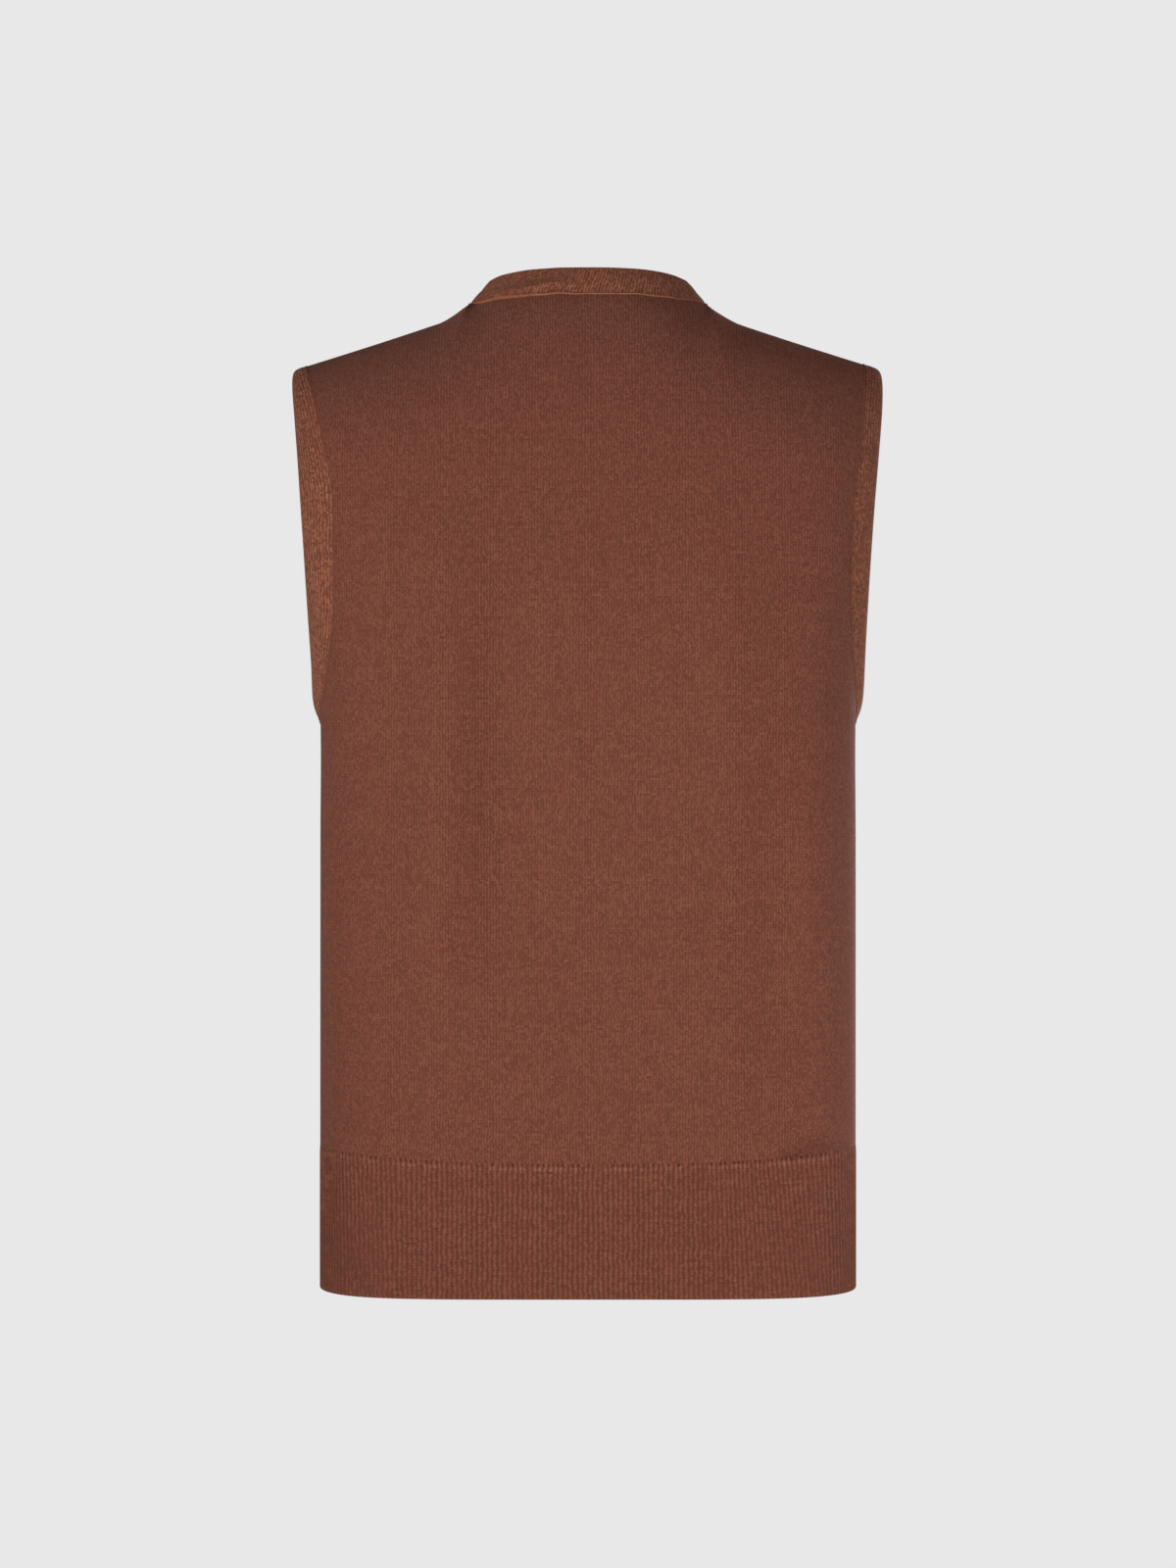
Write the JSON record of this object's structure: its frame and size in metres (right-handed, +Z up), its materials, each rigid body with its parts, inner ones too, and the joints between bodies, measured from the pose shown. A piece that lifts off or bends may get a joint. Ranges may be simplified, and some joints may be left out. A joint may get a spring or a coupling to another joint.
{
  "type": "knitted sweater vest",
  "caption": "Sleeveless knitted sweater vest in worn shape, a hollow body with V-neck, banded armholes and a ribbed hem.",
  "frame": {"origin": "between the shoulders where the wearer's neck begins, 11 mm below the sides of the neck seam", "axes": "+Z up, -Y the front of the vest, +X the wearer's left"},
  "size_m": [0.4001, 0.2278, 0.6876],
  "materials": {
    "body_knit": "matt fine-gauge plain knit, rust brown",
    "rib_knit": "matt fine-gauge 1x1 rib, rust brown",
    "band_knit": "matt folded knit band, rust brown"
  },
  "bodies": {
    "root": {"back_panel": "body_knit", "front_panel": "body_knit", "hem_rib_back": "rib_knit", "hem_rib_front": "rib_knit", "neck_band": "band_knit", "armhole_band_left": "band_knit", "armhole_band_right": "band_knit"}
  },
  "joints": []
}
